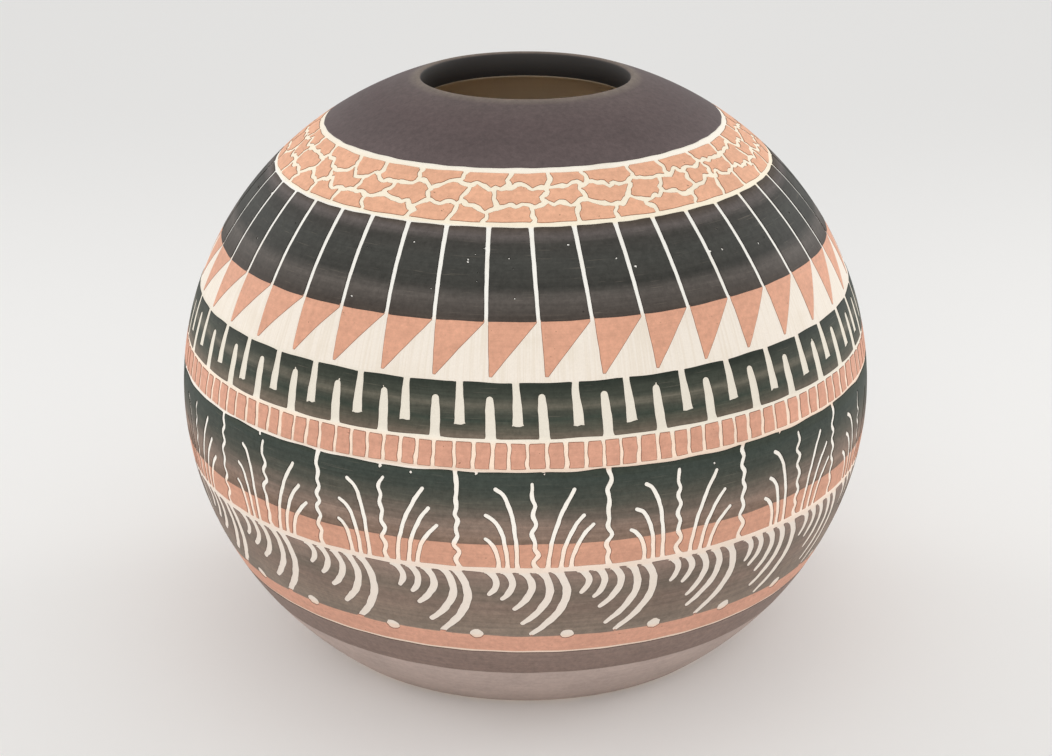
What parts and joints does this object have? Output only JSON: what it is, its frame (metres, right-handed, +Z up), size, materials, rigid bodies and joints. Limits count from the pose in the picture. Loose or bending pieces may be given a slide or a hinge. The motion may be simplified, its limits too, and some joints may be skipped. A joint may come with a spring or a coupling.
{
  "type": "clay pot",
  "caption": "Round clay pot with a narrow cut mouth and flat foot, banded with coats of coloured slip cut back to pale clay in traditional patterns.",
  "frame": {"origin": "middle of the flat foot, on the surface that the pot stands on", "axes": "+Z up along the pot's axis of turning, -Y towards the side that the picture shows"},
  "size_m": [0.178, 0.178, 0.1461],
  "materials": {
    "clay": "matt unglazed",
    "mauve_slip": "dull",
    "salmon_slip": "matt",
    "black_slip": "soft sheen",
    "green_black_slip": "soft sheen",
    "brown_black_slip": "soft sheen",
    "grey_brown_slip": "dull",
    "dark_brown_slip": "dull",
    "taupe_wash": "matt"
  },
  "bodies": {
    "root": {"clay_body": "clay", "shoulder_slip": "mauve_slip", "mosaic_slip": "salmon_slip", "panel_slip": "black_slip", "triangle_slip": "salmon_slip", "key_slip": "green_black_slip", "brick_slip": "salmon_slip", "grass_slip": "brown_black_slip", "upper_stripe_slip": "salmon_slip", "feather_slip": "grey_brown_slip", "lower_stripe_slip": "salmon_slip", "foot_band_slip": "dark_brown_slip", "base_wash": "taupe_wash"}
  },
  "joints": []
}
